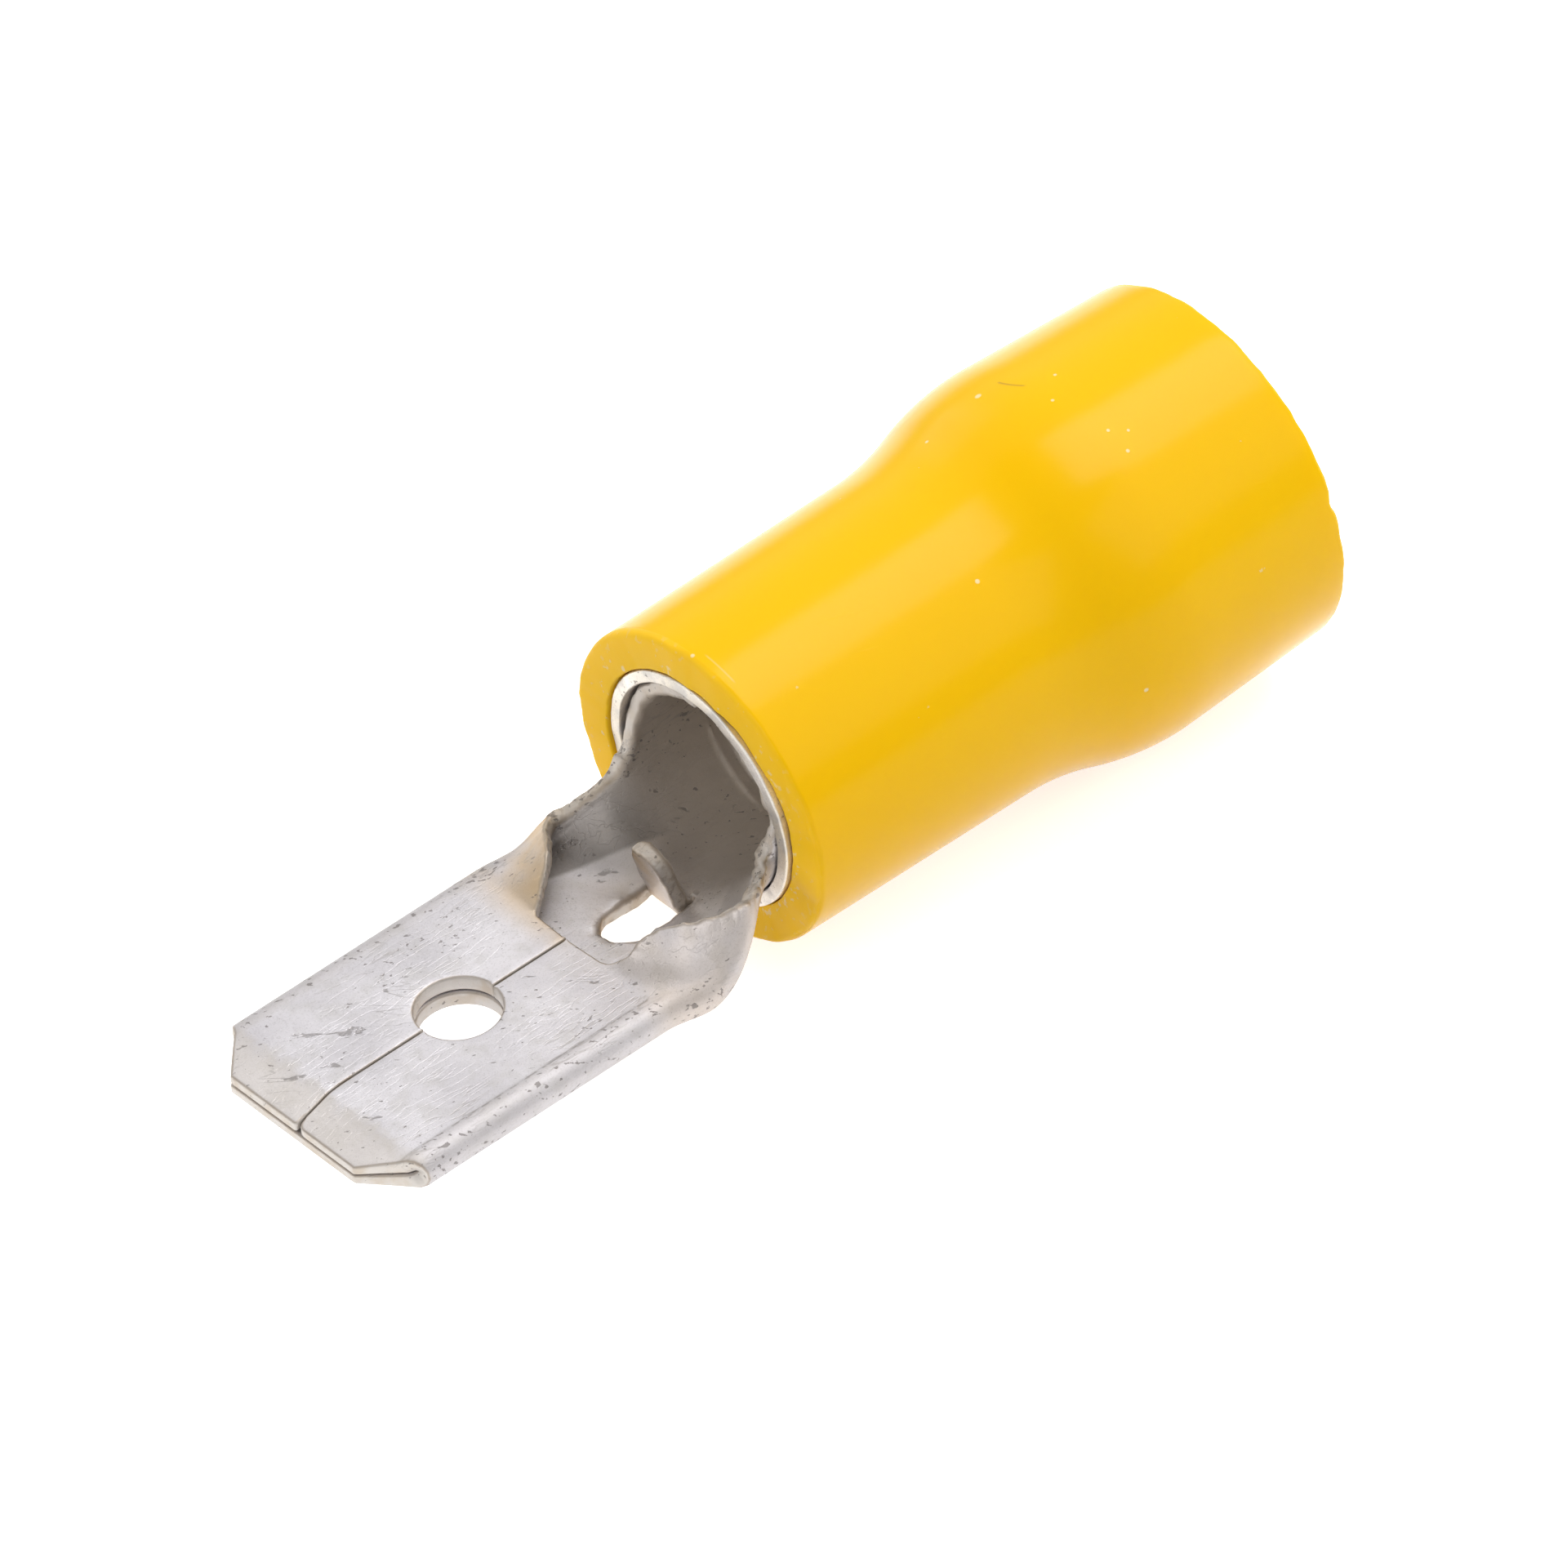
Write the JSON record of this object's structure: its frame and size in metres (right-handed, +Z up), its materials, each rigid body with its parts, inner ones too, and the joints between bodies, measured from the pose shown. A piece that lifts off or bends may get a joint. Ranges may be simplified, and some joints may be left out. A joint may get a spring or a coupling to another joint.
{
  "type": "male spade terminal",
  "caption": "Insulated male spade terminal with a folded flat blade, a crimp barrel and a flared plastic sleeve.",
  "frame": {"origin": "on the barrel's axis at the rear face of the insulating sleeve, where the wire goes in", "axes": "+X along the barrel to the tip of the blade, +Z up and square to the blade, +Y across the blade"},
  "size_m": [0.0253, 0.0088, 0.0088],
  "materials": {
    "tinned_metal": "satin tin plating",
    "tinned_support": "satin tin plating",
    "yellow_vinyl": "satin gloss"
  },
  "bodies": {
    "root": {"terminal_body": "tinned_metal", "support_sleeve": "tinned_support", "insulating_sleeve": "yellow_vinyl"}
  },
  "joints": []
}
